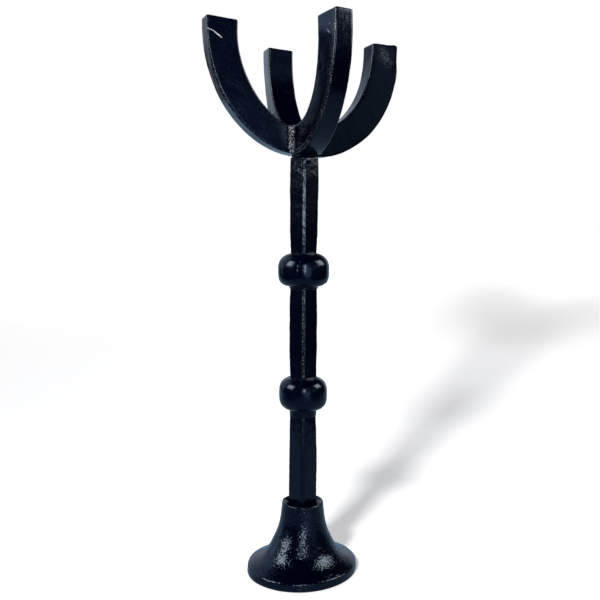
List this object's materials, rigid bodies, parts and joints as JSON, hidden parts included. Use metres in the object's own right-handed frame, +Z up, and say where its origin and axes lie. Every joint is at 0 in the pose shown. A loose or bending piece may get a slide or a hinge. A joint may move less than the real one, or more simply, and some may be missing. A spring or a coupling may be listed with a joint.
{
  "type": "tabletop candelabra",
  "caption": "Black-painted iron table stand: flared bell foot, square stem with two knops, and a crown of upswept arms that cradle a candle.",
  "frame": {"origin": "centre of the foot's resting ring, on the surface it stands on", "axes": "+Z up the stem; the crown's arms lie along +X, +Y, -X and -Y"},
  "size_m": [0.1332, 0.1332, 0.37],
  "materials": {
    "black_paint": "glossy black enamel over rough cast and forged iron",
    "weld_bead": "lumpy weld metal, paint rubbed thin on the crests",
    "zinc_steel": "bright zinc plate"
  },
  "bodies": {
    "root": {"foot": "black_paint", "stem_lower": "black_paint", "stem_middle": "black_paint", "stem_upper": "black_paint", "knop_lower": "black_paint", "knop_upper": "black_paint", "hub_block": "black_paint", "arm_right": "black_paint", "arm_back": "black_paint", "arm_left": "black_paint", "arm_front": "black_paint", "weld_back_right": "weld_bead", "weld_back_left": "weld_bead", "weld_front_left": "weld_bead", "weld_front_right": "weld_bead", "tie_rod": "zinc_steel", "foot_washer": "zinc_steel", "lock_washer": "zinc_steel", "foot_nut": "zinc_steel"}
  },
  "joints": []
}
